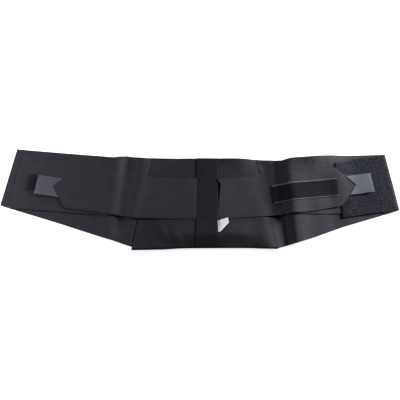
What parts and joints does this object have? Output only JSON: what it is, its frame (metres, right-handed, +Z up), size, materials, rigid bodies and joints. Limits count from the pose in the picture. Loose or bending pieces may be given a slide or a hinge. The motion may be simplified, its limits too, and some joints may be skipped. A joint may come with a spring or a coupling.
{
  "type": "lumbosacral brace",
  "caption": "Elastic lower-back brace laid open, with two-band wings, a padded back panel, two pull straps with notched grips, hook-and-loop patches and a blank care label.",
  "frame": {"origin": "under the middle of the brace's bounding box, on the table that it lies on", "axes": "+X along the belt towards the wearer's right wing as laid, +Y from the bottom edge to the top edge, +Z up from the table"},
  "size_m": [0.9934, 0.2624, 0.024],
  "materials": {
    "wing_elastic": "matte ribbed elastic",
    "panel_cloth": "matte padded knit",
    "strap_elastic": "matte ribbed elastic",
    "spine_tape": "matte woven tape",
    "binding_tape": "matte woven tape",
    "hook_tape": "matte hook-and-loop pile",
    "grip_film": "satin grey film",
    "label_satin": "white satin"
  },
  "bodies": {
    "root": {"left_lower_band": "wing_elastic", "left_upper_band": "wing_elastic", "right_lower_band": "wing_elastic", "right_upper_band": "wing_elastic", "back_panel": "panel_cloth", "back_bottom_binding": "binding_tape", "centre_strip": "spine_tape", "left_pull_strap": "strap_elastic", "right_pull_strap": "strap_elastic", "left_tab": "grip_film", "right_tab": "grip_film", "right_strap_strip": "hook_tape", "left_landing_strip": "hook_tape", "right_closure_pad": "hook_tape", "care_label": "label_satin"}
  },
  "joints": []
}
